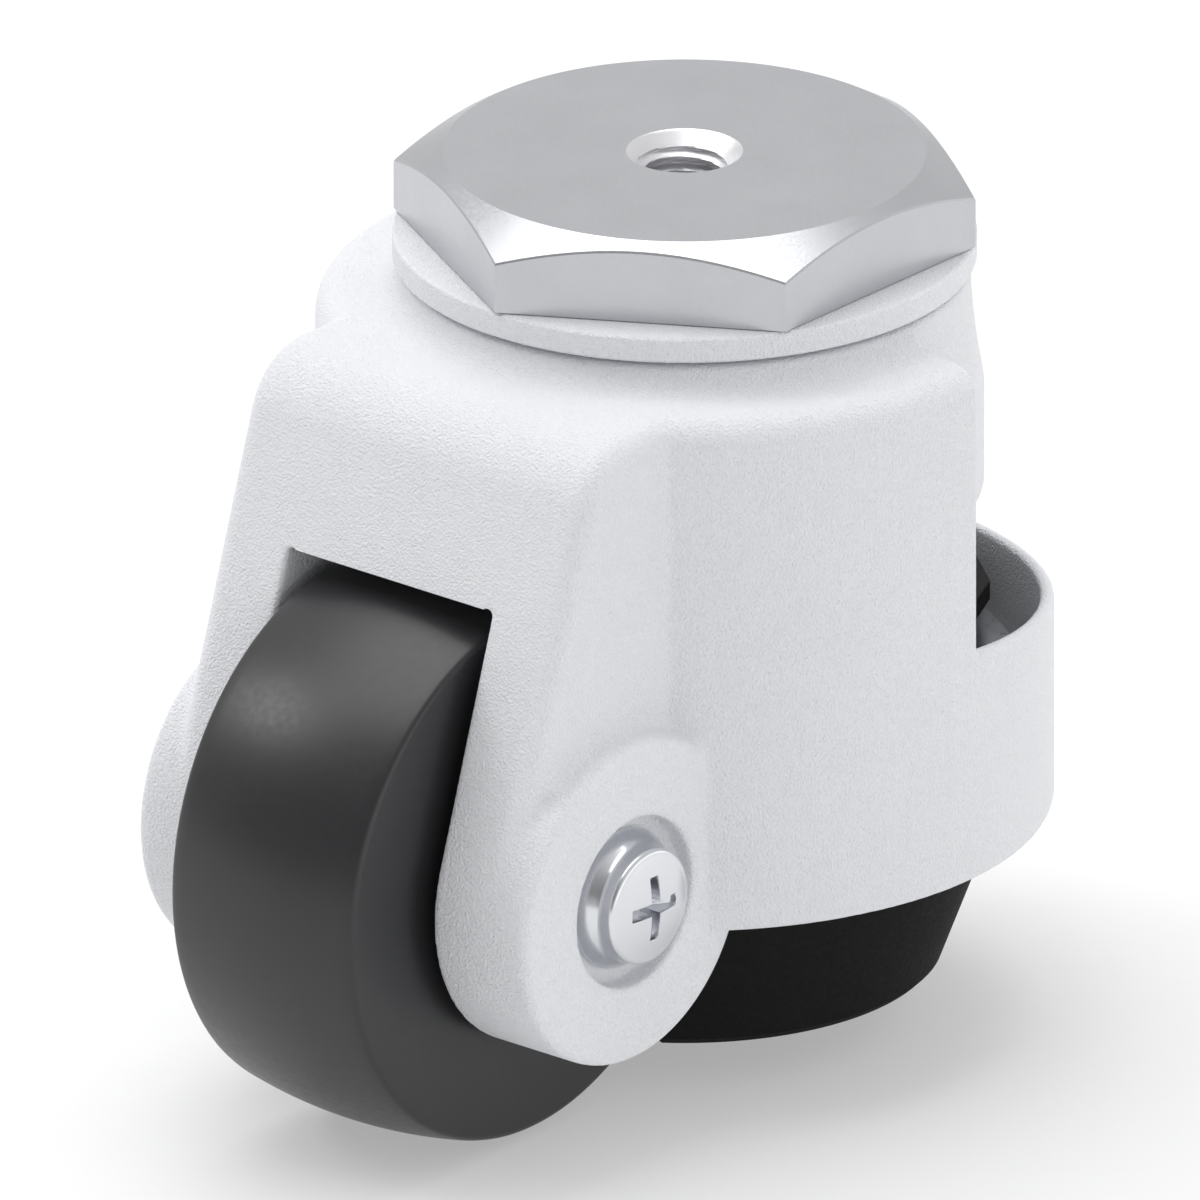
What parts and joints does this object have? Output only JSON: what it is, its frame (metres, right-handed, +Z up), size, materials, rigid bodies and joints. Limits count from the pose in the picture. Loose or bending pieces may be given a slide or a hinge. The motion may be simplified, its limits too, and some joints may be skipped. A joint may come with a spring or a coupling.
{
  "type": "levelling castor",
  "caption": "Swivel castor with a hexagonal threaded head, cast housing, plastic wheel and a foot lowered by an adjusting wheel to carry and level a machine.",
  "frame": {"origin": "centre of the hexagon's top face, on the swivel axis", "axes": "+Z up along the swivel axis, castor wheel towards -Y, axle along X"},
  "size_m": [0.0624, 0.0879, 0.0776],
  "materials": {
    "machined_steel": "fine milled, satin",
    "housing_paint": "fine grained powder paint",
    "bearing_steel": "ground",
    "felt": "pressed felt",
    "screw_zinc": "bright zinc",
    "wheel_plastic": "satin, moulded",
    "bush_plastic": "smooth",
    "plate_steel": "zinc plated",
    "adjuster_plastic": "satin, moulded",
    "insert_brass": "turned",
    "foot_rubber": "matte",
    "spindle_steel": "threaded"
  },
  "bodies": {
    "head": {"hex_fitting": "machined_steel", "cover_disc": "housing_paint", "swivel_flange": "bearing_steel", "dust_seal": "felt", "upper_balls": "bearing_steel"},
    "housing": {"housing": "housing_paint", "bearing_cap": "bearing_steel", "lower_balls": "bearing_steel", "lower_race": "bearing_steel", "axle_sleeve": "bearing_steel", "axle_screw_right": "screw_zinc", "axle_screw_left": "screw_zinc", "spacer_right": "bearing_steel", "spacer_left": "bearing_steel", "thrust_washer": "bearing_steel", "bearing_plate": "plate_steel", "plate_screws": "screw_zinc", "guide_pins": "bearing_steel"},
    "wheel": {"castor_wheel": "wheel_plastic", "wheel_bush_right": "bush_plastic", "wheel_bush_left": "bush_plastic"},
    "adjuster": {"adjusting_wheel": "adjuster_plastic", "threaded_insert": "insert_brass"},
    "foot": {"foot_pad": "foot_rubber", "foot_core": "plate_steel", "spindle": "spindle_steel", "stop_ring": "bearing_steel"}
  },
  "joints": [
    {"name": "swivel", "type": "hinge", "parent": "head", "child": "housing", "pos_m": [0, 0, -0.017], "axis": [0, 0, 1], "continuous": true},
    {"name": "wheel_roll", "type": "hinge", "parent": "housing", "child": "wheel", "pos_m": [0, -0.032, -0.0529], "axis": [1, 0, 0], "continuous": true},
    {"name": "adjuster_turn", "type": "hinge", "parent": "housing", "child": "adjuster", "pos_m": [0, 0.011, -0.04], "axis": [0, 0, 1], "range_deg": [0, 2160]},
    {"name": "foot_drop", "type": "slide", "parent": "housing", "child": "foot", "axis": [0, 0, -1], "range_m": [0, 0.012]}
  ],
  "couplings": [
    {"joint": "adjuster_turn", "follows": "foot_drop", "rad_per_m": 3141.6}
  ]
}
